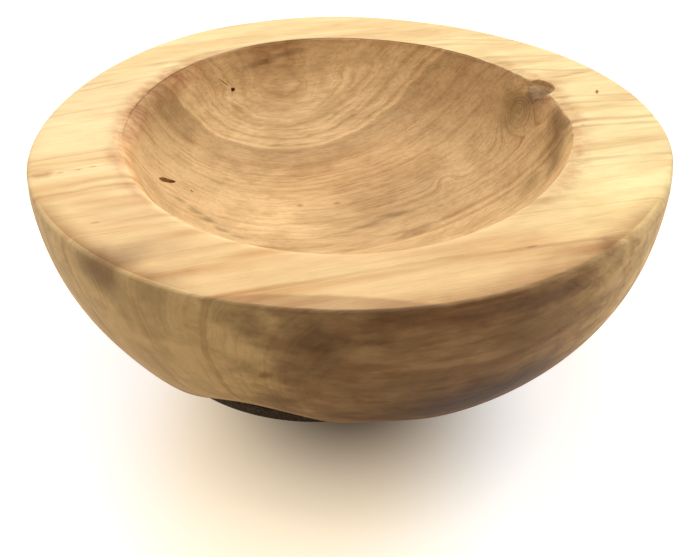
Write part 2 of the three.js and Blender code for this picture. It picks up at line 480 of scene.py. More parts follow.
def flaw_cutter(name, middle, run, into, half_length, half_width, half_depth):
    """A sphere stretched into a tapered pocket that runs one way and sinks another."""
    clear_selection()
    bpy.ops.mesh.primitive_uv_sphere_add(segments=24, ring_count=14, radius=1)
    cutter = bpy.context.object
    cutter.name = name
    run = np.array(run) / np.linalg.norm(run)
    into = np.array(into) - run * np.dot(into, run)
    into = into / np.linalg.norm(into)
    aside = np.cross(into, run)
    ball = read_points(cutter)
    taper = 1 - FLAW_TAPER * ball[:, 0]
    wobble = 1 + FLAW_WOBBLE * np.sin(WOBBLE_RATE * ball[:, 0]) * np.sign(ball[:, 1])
    placed = (
        np.array(middle)
        + np.outer(ball[:, 0] * half_length, run)
        + np.outer(ball[:, 1] * half_width * taper * wobble, aside)
        + np.outer(ball[:, 2] * half_depth, into)
    )
    write_points(cutter, placed * MM)
    return cutter


def cut_flaws(piece, flaws):
    """Takes every flaw out of a piece and marks the faces that the cutters left."""
    piece.data.materials.append(bpy.data.materials.new("wood_to_come"))
    darkness = [0.0]
    for name, (*shape, inside_dark) in flaws.items():
        cutter = flaw_cutter(name, *shape)
        cutter.data.materials.append(bpy.data.materials.new(name))
        darkness.append(inside_dark)
        make_active(cutter)
        bpy.ops.object.mode_set(mode="EDIT")
        bpy.ops.mesh.select_all(action="SELECT")
        bpy.ops.mesh.normals_make_consistent(inside=False)
        clear_selection()
        finish_modifier(
            piece, "BOOLEAN", name,
            operation="DIFFERENCE", object=cutter, solver="EXACT", material_mode="TRANSFER",
        )
        bpy.data.objects.remove(cutter)
    slots = np.empty(len(piece.data.polygons), np.int32)
    piece.data.polygons.foreach_get("material_index", slots)
    mark = piece.data.attributes.new(CUT_MARK, "FLOAT", "FACE")
    mark.data.foreach_set("value", np.array(darkness, np.float32)[slots])
    piece.data.materials.clear()
    cut_faces = np.flatnonzero(slots)
    inside_values = piece.data.attributes[INSIDE_MARK].data
    for face in cut_faces:
        for corner in piece.data.polygons[face].vertices:
            on_the_rim = piece.data.vertices[corner].co.z > BOWL_HEIGHT - RIM_CUT_BAND
            inside_values[corner].value = RIM_SHARE if on_the_rim else HOLLOW_SHARE
    return len(cut_faces)


print("cut faces:", cut_flaws(bowl, FLAWS))
make_active(bowl)
bpy.ops.object.shade_smooth_by_angle(angle=BOWL_SMOOTHING)

# %% [markdown]
# ## The cork disc
# A disc of dark pressed cork is stuck under the foot. A plain bevelled cylinder would look like plastic. So
# the wall of a cylinder at the CAD disc's size is subdivided, the points of its two edges are drawn in,
# and a cloud texture crumbles the wall as pressed granules do.

# %% Model the cork
CORK_EDGE = 0.8 * MM
CORK_FACE_RING = 4 * CORK_EDGE  # a second ring of faces, so that both flat faces shade flat
CORK_SIDES = 288
CORK_WALL_CUTS = 5
END_SHARE = 0.49  # share of the thickness from the middle, past which a point lies on a flat face
CORK_RIPPLE = (2.2 * MM, 0.7 * MM)
CORK_SMOOTHING = math.radians(50)
cork_middle = (cork_low + cork_high) / 2
cork_radius = (cork_high.x - cork_low.x) / 2
cork_thickness = cork_high.z - cork_low.z


def cork_disc():
    clear_selection()
    bpy.ops.mesh.primitive_cylinder_add(vertices=CORK_SIDES, radius=cork_radius, depth=cork_thickness)
    disc = bpy.context.object
    disc.name = "cork_disc"
    bpy.ops.object.mode_set(mode="EDIT")
    bpy.ops.transform.translate(value=cork_middle)
    bpy.ops.mesh.select_all(action="DESELECT")
    bpy.ops.object.mode_set(mode="OBJECT")
    for edge in disc.data.edges:
        ends = [disc.data.vertices[index].co for index in edge.vertices]
        edge.select = abs(ends[0].z - ends[1].z) > cork_thickness / 2
    bpy.ops.object.mode_set(mode="EDIT")
    bpy.ops.mesh.select_mode(type="EDGE")
    bpy.ops.mesh.subdivide(number_cuts=CORK_WALL_CUTS)
    bpy.ops.mesh.select_all(action="DESELECT")
    bpy.ops.mesh.select_mode(type="FACE")
    bpy.ops.object.mode_set(mode="OBJECT")
    for face in disc.data.polygons:
        face.select = abs(face.normal.z) > HALF_ROOT
    bpy.ops.object.mode_set(mode="EDIT")
    bpy.ops.mesh.inset(thickness=CORK_EDGE)
    bpy.ops.mesh.inset(thickness=CORK_FACE_RING)
    bpy.ops.object.mode_set(mode="OBJECT")
    return disc


cork = cork_disc()
cork_points = read_points(cork)
wall_share = np.hypot(cork_points[:, 0] - cork_middle.x, cork_points[:, 1] - cork_middle.y) / cork_radius
at_wall = (wall_share > 1 - CORK_EDGE / cork_radius / 2).astype(float)
at_end = np.abs(cork_points[:, 2] - cork_middle.z) > END_SHARE * cork_thickness
drawn_in = at_wall * at_end * CORK_EDGE / cork_radius
cork_points[:, :2] -= (cork_points[:, :2] - np.array(cork_middle[:2])) * drawn_in[:, None]
write_points(cork, cork_points)
undulate(cork, "cork_granules", at_wall, *CORK_RIPPLE)
make_active(cork)
bpy.ops.object.shade_smooth_by_angle(angle=CORK_SMOOTHING)
print("cork disc:", len(cork.data.polygons), "faces")

# %% [markdown]
# ## Writing shaders as sums
# A finish is arithmetic on the place of a point: how far along the grain it lies, which growth ring it is
# in, how near to a knot. Wiring Math nodes one by one hides that, so a small class wraps a socket and lets
# Python's own signs add the nodes. Any other node comes from its one method, node.

# %% A socket that does arithmetic
BUMP_HEIGHT = 0.3 * MM


class Field:
    """A value on the surface, held by the output socket of a node."""

    def __init__(self, socket):
        self.socket = socket
        self.tree = socket.id_data

    def node(self, kind, settings=None, inputs=None, output=0):
        """Adds a node of a kind, with its settings first and then its sockets' values or links."""
        made = self.tree.nodes.new(kind)
        for name, value in (settings or {}).items():
            setattr(made, name, value)
        for key, value in (inputs or {}).items():
            if isinstance(value, Field):
                self.tree.links.new(value.socket, made.inputs[key])
            else:
                made.inputs[key].default_value = value
        return Field(made.outputs[output])

    def maths(self, operation, first, second=0.0):
        return self.node("ShaderNodeMath", {"operation": operation}, {0: first, 1: second})

    def __add__(self, other):
        return self.maths("ADD", self, other)

    __radd__ = __add__

    def __sub__(self, other):
        return self.maths("SUBTRACT", self, other)

    def __rsub__(self, other):
        return self.maths("SUBTRACT", other, self)

    def __mul__(self, other):
        return self.maths("MULTIPLY", self, other)

    __rmul__ = __mul__

    def __pow__(self, other):
        return self.maths("POWER", self, other)

    def vector(self, operation, other, output=0):
        """Vector Math between this vector and another vector or three numbers."""
        return self.node("ShaderNodeVectorMath", {"operation": operation}, {0: self, 1: other}, output)

    def parts(self):
        """The three parts of a vector, each a number."""
        split = self.node("ShaderNodeSeparateXYZ", inputs={0: self}).socket.node
        return [Field(output) for output in split.outputs]

    def length(self):
        return self.node("ShaderNodeVectorMath", {"operation": "LENGTH"}, {0: self}, "Value")

    def gap_from(self, middle, half_sizes):
        """How far this place lies from a middle, as a share of the half sizes."""
        return self.vector("SUBTRACT", middle).vector("DIVIDE", half_sizes).length()

    def ramp(self, low, high, start=0.0, end=1.0):
        """Runs smoothly from start to end as this value goes from low to high, and stays there."""
        ease = {"interpolation_type": "SMOOTHSTEP"}
        return self.node("ShaderNodeMapRange", ease, {0: self, 1: low, 2: high, 3: start, 4: end})

    def noise(self, detail=2.0, roughness=0.5):
        """Cloudy noise, about 0 to 1, at this place."""
        return self.node(
            "ShaderNodeTexNoise", {"noise_dimensions": "3D"},
            {"Vector": self, "Scale": 1.0, "Detail": detail, "Roughness": roughness},
        )

    def series(self, scale, detail=2.0, roughness=0.5):
        """Noise along a single number, as the good and bad years of a tree."""
        return self.node(
            "ShaderNodeTexNoise", {"noise_dimensions": "1D"},
            {"W": self, "Scale": scale, "Detail": detail, "Roughness": roughness},
        )

    def paint(self, under, over, kind="MIX"):
        """Lays one colour over another with this value as its strength."""
        return self.node(
            "ShaderNodeMix", {"data_type": "RGBA", "blend_type": kind, "clamp_factor": True},
            {0: self, 6: under, 7: over}, 2,
        )


def new_finish(name):
    """An empty material, its shader node and the place on the piece in millimetres."""
    material = bpy.data.materials.new(name)
    material.use_nodes = True
    shader = material.node_tree.nodes["Principled BSDF"]
    coordinates = material.node_tree.nodes.new("ShaderNodeTexCoord")
    metres = Field(coordinates.outputs["Object"])
    return material, shader, metres.vector("MULTIPLY", (1 / MM,) * 3)


def feed(shader, socket, field):
    shader.id_data.links.new(field.socket, shader.inputs[socket])


def feed_bump(shader, height, strength):
    """Raises the surface a little where a field is high."""
    sockets = {"Strength": strength, "Distance": BUMP_HEIGHT, "Height": height}
    feed(shader, "Normal", height.node("ShaderNodeBump", inputs=sockets))


print("shader arithmetic ready")

# %% [markdown]
# ## How the grain lies in the block
# The growth rings of a large tree cross a block this size as gently curved sheets. Here they stand nearly
# upright, run from the front left to the back right and curve round a heart that only just touches the
# back wall of the hollow. So they show as long streaks on the rim and as nested arches in the hollow. A
# knot pushes the sheets aside and they close round it in loops. All of the figure follows from a single
# number, the count of rings from the heart.

# %% Count of the growth rings
GRAIN_TURN = math.radians(19)
RING_LEVEL = 80  # mm above the table, where the sheets are described
# How the depth through the sheets, in mm, grows with the place and with its squares and products
SHEET_SLOPE = (-0.293, 0.9455, 0.126)
SHEET_SQUARES = (0.00017, -0.0030, 0.0040)
SHEET_TWIST = (0.00195, 0.00148, -0.00313)  # x times y, x times height, y times height
HEART_DEPTH = 66.6
LEAST_DEPTH = 0.02  # mm, at the heart itself
RINGS_PER_ROOT = 5.5  # rings per root of the depth in mm, which crowd near the heart
RINGS_PER_MM = 0.3
LEFT_TWIST = 0.005  # rings per square mm by which the sheets lean over, down the left of the belly
LEFT_FROM = 10  # mm left of the middle, where they begin to lean
RIM_LEVEL = 32  # mm that the rim lies above RING_LEVEL
# Unevenness: sizes along the grain and across it in mm, detail, swing in mm or rings
DEPTH_SWING = (150, 55, 1.0, 1.2)
COUNT_SWINGS = ((34, 13, 2.0, 2.2), (9, 5, 1.0, 0.8))
# Each knot: middle in mm, how many rings it pushes aside, how wide it reaches
KNOTS = (
    ((90.5, 51.0, 95.5), 24.0, 10.0),
    ((51.4, 36.7, 58.8), 6.0, 5.0),
    ((-134.5, -58.0, 112.0), 5.0, 6.0),
)


def grain_frame(place):
    """The same place measured along the grain, across it and upwards."""
    turn = {"vector_type": "TEXTURE"}
    return place.node("ShaderNodeMapping", turn, {"Vector": place, "Rotation": (0, 0, GRAIN_TURN)})


def stretched(grain, along, across):
    """The grain frame divided by a size along the grain and one across it, for longish noise."""
    return grain.vector("DIVIDE", (along, across, across))


def inside_of(place):
    """The share kept on the mesh: 0 on the belly, 1 in the hollow, in between across the rim."""
    return place.node("ShaderNodeAttribute", {"attribute_name": INSIDE_MARK}, output="Fac")


def swing(grain, along, across, detail, height):
    """Noise that swings about 0, by a height in all."""
    return (stretched(grain, along, across).noise(detail) - 0.5) * height


def ring_count(place, grain):
    """How many rings a place lies from the heart, crowded near it and further apart away from it."""
    level = place.vector("SUBTRACT", (0, 0, RING_LEVEL))
    x, y, up = level.parts()
    to_the_left = x.maths("MAXIMUM", -LEFT_FROM - x, 0)
    products = x.node("ShaderNodeCombineXYZ", inputs={0: x * y, 1: x * up, 2: y * up})
    depth = level.vector("DOT_PRODUCT", SHEET_SLOPE, "Value")
    depth = depth + level.vector("MULTIPLY", level).vector("DOT_PRODUCT", SHEET_SQUARES, "Value")
    depth = depth + products.vector("DOT_PRODUCT", SHEET_TWIST, "Value")
    depth = depth + swing(grain, *DEPTH_SWING)
    from_heart = depth.maths("MAXIMUM", HEART_DEPTH - depth, LEAST_DEPTH)
    count = from_heart ** 0.5 * RINGS_PER_ROOT + from_heart * RINGS_PER_MM
    for count_swing in COUNT_SWINGS:
        count = count + swing(grain, *count_swing)
    on_belly = 1 - inside_of(place).ramp(0.0, 0.05)
    count = count - (RIM_LEVEL - up) * to_the_left * on_belly * LEFT_TWIST
    for middle, push, reach in KNOTS:
        distance = place.vector("DISTANCE", middle, "Value")
        bell = distance.maths("EXPONENT", distance * distance * (-0.5 / reach**2))
        count = count + bell * push
    return count


print("knots:", len(KNOTS))

# %% [markdown]
# ## The wood finish
# The rim was sanded last and is the palest, the hollow is browner, and the belly was left dark and oiled.
# Over these three tones lie the rings, single dark years, short vessel lines, clouds, a list of stains, and
# painted shade and painted light.
# All of it reads the place in the block, so a streak that leaves the rim goes on down the belly.

# %% Tones of the wood
RIM_TONE = (0.85, 0.62, 0.305, 1)
HOLLOW_TONE = (0.79, 0.525, 0.255, 1)
BELLY_PALE = (0.90, 0.615, 0.278, 1)
BELLY_DARK = (0.49, 0.298, 0.133, 1)
RAW_CUT = (0.42, 0.225, 0.085, 1)
# Where the belly darkens and where it is pale again, in mm along the grain, and how far that wanders
BELLY_DARKENS = (-92, -56)
BELLY_PALES = (76, 34)
BELLY_DRIFT = 60
# Tones that multiply what lies under them
LATE_WOOD = (0.62, 0.49, 0.36, 1)
VESSELS = (0.62, 0.50, 0.40, 1)
OILED_STREAK = (0.62, 0.50, 0.38, 1)
RIM_STREAK = (0.82, 0.68, 0.54, 1)
CLOUD = (0.80, 0.76, 0.70, 1)
# GREY_BROWN, BROWN and RED_BROWN darken real stains and the brown heart, and also lay painted shade under
# the front of the rim, at the bottom of the belly and at the back of the hollow
GREY_BROWN = (0.40, 0.34, 0.31, 1)
OLIVE = (0.60, 0.60, 0.52, 1)
MOTTLE = (0.62, 0.58, 0.50, 1)
BROWN = (0.75, 0.72, 0.68, 1)
RED_BROWN = (0.62, 0.42, 0.30, 1)
PINK = (0.86, 0.69, 0.61, 1)
TORN = (0.76, 0.60, 0.53, 1)
ORANGE = (0.96, 0.90, 0.83, 1)
# painted shade of the pared flat on the rim's front edge
FACET_SHADE = (0.66, 0.60, 0.57, 1)
WORN = (0.68, 0.59, 0.51, 1)
WARM_RIM = (0.96, 0.88, 0.82, 1)
# PALER lifts the young wood near the heart, and also lays painted light on the rim, the belly and the
# hollow, and a painted highlight at the front left of the hollow's edge
PALER = (1.24, 1.30, 1.36, 1)
SUNLIT = (1.03, 1.09, 1.04, 1)
# Single rings that stand out: count from the heart, half width in rings, strength
DARK_RINGS = (
    (3.4, 0.5, 0.50), (4.9, 0.5, 0.50), (6.8, 0.5, 0.40), (10.6, 0.6, 0.40), (14.5, 0.5, 0.35),
    (25.3, 0.8, 0.40), (29.5, 0.5, 0.30), (36.6, 0.7, 0.35), (56.4, 0.6, 0.35), (60.9, 0.7, 0.40),
    (65.2, 0.4, 0.30), (73.2, 1.1, 0.65), (77.6, 0.7, 0.50), (99.2, 1.0, 0.50), (104.0, 0.4, 0.30),
    (120.8, 1.6, 0.50), (127.0, 0.6, 0.35), (145.8, 0.9, 0.50),
)
# The ring where the wood turns from pale to brown, and how many rings the brown takes to fade
BROWN_RING = 18.2
BROWN_FADE = 11
BROWN_EDGE = 0.3  # half of the turn itself, in rings
WOOD_SHINE = 0.22
print("single rings that stand out:", len(DARK_RINGS))

# %% [markdown]
# ## Stains, small marks, painted shade and painted light
# Damp, hands and tools left grey and brown patches on the wood, and fine dark flecks on the rim. The same
# lists also lay painted shade under the front of the rim, at the bottom of the belly and at the top of the
# back wall, and painted light on the right of the belly, the left of the rim and in the hollow. Painted
# into an image they would hang on how the bowl is unwrapped. Here each is a soft ellipsoid in the block, so
# it runs over an edge as a real stain does, and all but the smallest have a wandering outline.

# %% Stains, small marks, painted shade and painted light
# Each multiplies the wood by a tone: middle, half sizes along and across the grain and upwards in mm,
# tone, strength
OUTER_STAINS_LIGHT_AND_SHADE = (
    # On the belly
    ((-95, -120, 106), (34, 14, 12), GREY_BROWN, 0.85),
    ((-68, -133, 106), (22, 9, 8), GREY_BROWN, 0.45),
    ((-36, -147, 104), (17, 9, 6), GREY_BROWN, 0.50),
    ((-9, -149.5, 97), (13, 12, 9), GREY_BROWN, 0.40),
    # painted shade: a dark band just under the rim's front right edge
    ((72, -129, 104), (42, 8, 6), GREY_BROWN, 0.75),
    # painted shade: darker towards the bottom of the belly, at the right
    ((54, -132, 55), (52, 22, 15), GREY_BROWN, 0.60),
    ((1, -148, 84), (9, 10, 9), RED_BROWN, 0.55),
    ((-30.6, -146.3, 79.9), (4, 4, 3), RED_BROWN, 0.80),
    # painted shade: darker towards the bottom of the belly
    ((60, -126, 44), (70, 36, 28), GREY_BROWN, 1),
    # painted shade: darker towards the bottom of the belly, in the middle
    ((20, -140, 60), (70, 30, 26), BROWN, 0.75),
    # painted shade: a dark line just under the rim's front edge
    ((40, -150, 105), (85, 16, 8), RED_BROWN, 0.55),
    # painted light: paler on the right of the belly, near the outer edge
    ((134, -74, 92), (44, 44, 48), PALER, 1),
    # On the rim
    ((102, 45, 112), (13, 12, 8), RED_BROWN, 0.45),
    # painted light: paler on the left of the rim
    ((-122, -34, 112), (40, 64, 14), PALER, 0.45),
    ((-134.4, -58.3, 112), (7, 4, 8), RED_BROWN, 0.75),
    ((90, -108.5, 112), (24, 5, 8), RED_BROWN, 0.45),
    ((100, -105.5, 112), (6, 5, 6), GREY_BROWN, 0.45),
    ((-126.5, -55.6, 112), (2, 0.7, 2), RED_BROWN, 0.8),
    ((-119.4, -52.7, 112), (1.6, 0.6, 2), RED_BROWN, 0.8),
    ((-113.6, -49.8, 112), (2.2, 0.7, 2), RED_BROWN, 0.7),
    ((-100.5, -95.5, 112), (2.5, 0.7, 2), RED_BROWN, 0.7),
    ((70.2, -107.7, 112), (3, 0.8, 2), RED_BROWN, 0.8),
    ((111, 57, 112), (9, 1.3, 4), RED_BROWN, 0.65),
    ((122, 62.5, 112), (9, 1.2, 4), RED_BROWN, 0.65),
    ((111, -1.5, 112), (1.6, 1.2, 2), RED_BROWN, 0.6),
)
HOLLOW_STAINS_LIGHT_AND_SHADE = (
    # Round the lost knot and down the right
    ((98, 43, 105), (18, 17, 15), GREY_BROWN, 0.50),
    ((98.5, 42.5, 107.5), (9, 9, 8), GREY_BROWN, 0.70),
    ((98, 41, 103), (2.6, 3, 9), GREY_BROWN, 0.70),
    ((95.5, 47, 103), (1.8, 1.6, 7), GREY_BROWN, 0.50),
    ((101, 37, 107), (2, 2.2, 5), GREY_BROWN, 0.45),
    ((90, 50.7, 94.5), (17, 17, 16), OLIVE, 0.75),
    ((104, 0, 99), (16, 30, 16), OLIVE, 0.75),
    ((105, 16, 105), (10, 13, 9), GREY_BROWN, 0.75),
    ((103, 0, 95), (10, 11, 8), OLIVE, 0.60),
    ((104.5, 5, 104.5), (9, 13, 8), GREY_BROWN, 0.60),
    ((100.5, -10, 94), (11, 13, 11), GREY_BROWN, 0.50),
    ((92, -5, 80), (11, 12, 8), OLIVE, 0.75),
    ((86, 14, 74), (30, 40, 26), BROWN, 0.45),
    # Down the left
    ((-98, 32, 96), (26, 44, 22), OLIVE, 0.45),
    ((-100.5, 37, 98), (14, 18, 12), OLIVE, 0.30),
    ((-91.5, 41, 84), (8, 10, 8), OLIVE, 0.40),
    ((-86, -15, 74), (7, 2.6, 3.5), OLIVE, 0.70),
    ((-79, -16, 69), (7, 2.6, 3.5), OLIVE, 0.85),
    ((-72, -18, 65), (7, 2.6, 3.2), OLIVE, 0.85),
    ((-65, -20, 61.5), (7, 2.6, 3), OLIVE, 0.85),
    ((-57, -22, 57.5), (7, 2.6, 3), OLIVE, 0.70),
    # On the back wall and the floor
    # painted shade: darker at the top of the back wall, under the rim
    ((-54, 98, 103), (38, 14, 10), BROWN, 0.50),
    ((-62, 93.2, 100.8), (10, 7, 1.9), GREY_BROWN, 0.40),
    ((-53, 98.8, 101.9), (10, 7, 1.9), GREY_BROWN, 0.55),
    ((-44, 103.6, 104), (10, 7, 1.9), GREY_BROWN, 0.55),
    ((-35, 107, 105.7), (10, 7, 1.9), GREY_BROWN, 0.40),
    # painted light: paler low on the back wall
    ((-20, 100, 92), (60, 20, 22), PALER, 0.75),
    # painted light: paler on the left of the hollow's floor
    ((-40, 6, 55), (48, 24, 16), PALER, 0.75),
    ((30, 26, 54), (60, 34, 14), BROWN, 0.75),
    ((0, 50, 58), (70, 40, 22), ORANGE, 1),
    ((9, 5.2, 48.5), (12, 2.8, 9), GREY_BROWN, 0.60),
    ((21.5, 13, 49.7), (12, 2.8, 9), GREY_BROWN, 0.60),
    ((35, -4.6, 51.6), (21, 2.8, 5), GREY_BROWN, 0.50),
    ((-8.4, 25.8, 49.4), (2.6, 1.4, 3), RED_BROWN, 0.70),
    ((-28.6, 21.2, 50.5), (2.4, 1.4, 3), RED_BROWN, 0.70),
)
CRISP_BELOW = 2  # mm: a stain with a smaller half size has a clean outline, a larger one wanders
WANDER = (14, 9, 9)  # mm along the grain, across it and upwards, from end to end
WANDER_SCALE = 0.09
# Where the figure itself differs: middle and half sizes, as for the stains
WHORL = ((90, 46, 91), (26, 26, 22))
WORN_FLOOR = ((-40, -4, 56), (58, 40, 28))
# painted shade: the back right of the hollow, where the wall turns away, is browned past the turning ring
SHADED_GOUGE_FACET = ((74, 70, 94), (54, 48, 36))


def across_the_block(point):
    """A point in the block's own axes as the grain frame gives it."""
    x, y, height = point
    turn_cos = math.cos(GRAIN_TURN)
    turn_sin = math.sin(GRAIN_TURN)
    return x * turn_cos + y * turn_sin, y * turn_cos - x * turn_sin, height


def patch_mask(grain, middle, half_sizes):
    """1 in the middle of a soft ellipsoid, fading to 0 at its edge: a stain, a patch of painted shade or
    light, or a zone of the figure.
    """
    return grain.gap_from(across_the_block(middle), half_sizes).ramp(1.2, 0.2)


def ring_mask(count, middle, half_width):
    """1 on a ring that stands out, fading to 0 on both sides."""
    apart = count - middle
    return apart.maths("ABSOLUTE", apart).ramp(half_width * 1.6, half_width * 0.3)


print("stains:", len(OUTER_STAINS_LIGHT_AND_SHADE) + len(HOLLOW_STAINS_LIGHT_AND_SHADE))

# %% [markdown]
# ## Zones of the bowl
# Rim, hollow and belly differ in tone, and stretches of the rim's edges are torn, worn or pared flat. The
# pared flat at the front and the back of the hollow's edge get painted shade, and the front left of that
# edge and the outer edge at the sides get painted highlights.
# Separate materials would meet in hard lines. Ramps on the share kept on the mesh and on the place let one
# zone run into the next. Places are in millimetres, with x to the right and y to the back.

# %% Zones of the bowl
def zones(place, grain):
    """Shares of rim, hollow and belly, and of the stretches of the rim's edges that differ, by name,
    painted highlights and painted shade among them.
    """
    inside = inside_of(place)
    x, y, height = place.parts()
    # The hollow's edge is frayed near the rim, most of all at the sides, and soft at the front
    sides = x.maths("ABSOLUTE", x).ramp(66, 96)
    ragged = stretched(grain, 10, 7).noise(3.0, 0.6)
    frayed = inside + (ragged - 0.5) * height.ramp(98, 109) * (0.02 + sides * 0.14)
    left_side = x.ramp(-70, -98)
    in_hollow = frayed.ramp(0.965 - left_side * 0.07, 0.995)
    soft_front = in_hollow * height.ramp(96, 109) * y.ramp(15, -35)
    # The rim's pale tone runs over its outer edge at the right and the left, as a painted highlight
    on_top = inside.ramp(0.0, 0.02)
    right_side = x.ramp(45, 95) * y.ramp(-105, -65)
    edge_highlight = height.ramp(104, 109) * right_side + height.ramp(108, 111) * x.ramp(-50, -95)
    on_rim = on_top.maths("MAXIMUM", on_top, edge_highlight)
    # Torn and worn stretches, painted shade on the pared flat at the front and along the back of the
    # hollow's edge, and a painted highlight at its front left
    rough = 0.4 + ragged.ramp(0.35, 0.65) * 0.6
    torn_ring = frayed.ramp(0.70, 0.92) * height.ramp(97, 106) * sides
    facet_width = 0.22 - (x + 8) * (x + 8) * 0.00014 + (ragged - 0.5) * 0.06
    front_left = x.ramp(10, -30) * y.ramp(10, -30)
    worn_right = inside.ramp(0.30, 0.02) * x.ramp(5, 50) * y.ramp(-60, -85)
    worn_left = inside.ramp(0.24, 0.0) * x.ramp(-45, -75) * y.ramp(-70, -95)
    return {
        "rim": on_rim * (1 - in_hollow),
        "hollow": in_hollow * (1 - soft_front * 0.85),
        "belly": (1 - on_rim) * (1 - in_hollow),
        "torn": torn_ring * rough * (1 - in_hollow * (1 - left_side)),
        "worn_edge": (worn_right + worn_left) * on_top * (0.55 + ragged * 0.9),
        # a painted highlight along the front left of the hollow's edge
        "ridge_highlight": inside.ramp(0.86, 0.95) * height.ramp(102, 107) * front_left,
        # painted shade along the back of the hollow's edge, just under the rim
        "back_edge_shade": frayed.ramp(0.95, 0.98) * height.ramp(107.5, 110.5) * y.ramp(20, 60),
        # painted shade on the pared flat at the front of the rim
        "shaded_facet": (inside - facet_width).ramp(0.03, -0.03) * height.ramp(110, 111.5) * y.ramp(-120, -130),
    }


print("zones ready")

# %% [markdown]
# ## Rings, fibres and clouds
# The late wood of each ring is darker, and vessel lines, fibres and clouds lie along the grain. A wave
# texture would repeat as no tree does. Noise along the ring count gives good and bad years, and noise in
# the grain frame, stretched by so many millimetres each way, gives the rest.

# %% Rings, fibres and clouds
# Each mask: sizes along the grain and across it in mm, detail and roughness of its noise, and the two
# levels of the noise between which it goes from 0 to 1
FIGURE = {
    "patches": (40, 12, 2.0, 0.5, 0.32, 0.62),
    "dashes": (10, 5, 2.0, 0.5, 0.34, 0.56),
    "vessels": (8, 0.75, 2.0, 0.5, 0.56, 0.72),
    "fibres": (16, 1.7, 3.0, 0.6, 0.38, 0.66),
    "streaks": (75, 6, 3.0, 0.55, 0.44, 0.66),
    "broad_streaks": (120, 15, 2.0, 0.5, 0.46, 0.62),
    "breaks": (70, 18, 2.0, 0.5, 0.30, 0.58),
    "mottle": (32, 15, 4.0, 0.62, 0.40, 0.62),
    "speckle": (15, 6, 3.0, 0.6, 0.46, 0.62),
    "blush": (45, 16, 2.0, 0.5, 0.50, 0.66),
}


def figure(grain, count):
    """The masks of the table by name, the plain clouds, and the late wood of the fine rings."""
    masks = {
        name: stretched(grain, along, across).noise(detail, roughness).ramp(low, high)
        for name, (along, across, detail, roughness, low, high) in FIGURE.items()
    }
    masks["clouds"] = stretched(grain, 26, 13).noise(4.0, 0.6)
    years = count.series(0.8, 3.0, 0.7).ramp(0.44, 0.66)
    masks["late_wood"] = years * (0.25 + masks["patches"] * 0.75) * (0.45 + masks["dashes"] * 0.55)
    return masks


print("masks of the figure:", len(FIGURE))

# %% [markdown]
# ## Building up the wood
# The finish is built up as the bowl was: first what grew with the wood, then what tools and hands did to
# the edges, then the stains. Painted shade and painted light lie among these layers, in the brown at the
# back right of the hollow, on the rim's edges and in the lists of stains. A long chain of mix nodes is hard
# to read, so each layer is a strength and a tone that multiplies what lies under it, and one loop lays them
# all.

# %% Tones under the figure
def base_tones(place, grain, zone_of, figure_of):
    """The tones of rim, hollow and belly, before any figure lies over them."""
    along, _, _ = grain.parts()
    _, y, _ = place.parts()
    drifting = along + (figure_of["clouds"] - 0.5) * BELLY_DRIFT
    belly_dark = drifting.ramp(*BELLY_DARKENS) * drifting.ramp(*BELLY_PALES)
    colour = belly_dark.paint(BELLY_PALE, BELLY_DARK)
    colour = zone_of["rim"].paint(colour, RIM_TONE)
    sunlit = zone_of["rim"] * along.maths("MAXIMUM", along, y).ramp(20, 80)
    colour = sunlit.paint(colour, SUNLIT, "MULTIPLY")
    front_or_back = y.ramp(-50, -105) + y.ramp(95, 125) * 0.9
    colour = (zone_of["rim"] * front_or_back).paint(colour, WARM_RIM, "MULTIPLY")
    return zone_of["hollow"].paint(colour, HOLLOW_TONE)


def brown_heart_and_gouge_shade(grain, count, zone_of):
    """How brown the wood is past the one ring where it turns, which at the back right of the hollow is
    painted shade where the wall turns away, and how pale it is before that ring.
    """
    past_ring = count.ramp(BROWN_RING - BROWN_EDGE, BROWN_RING + BROWN_EDGE)
    band = count.ramp(BROWN_RING + BROWN_FADE, BROWN_RING + 1) * 0.7
    gouge_shade = patch_mask(grain, *SHADED_GOUGE_FACET)
    brown = past_ring * band.maths("MAXIMUM", band, gouge_shade * 0.75) * zone_of["hollow"]
    pale = (1 - past_ring) * count.ramp(3, 9) * zone_of["hollow"]
    return brown, pale


print("base tones ready")

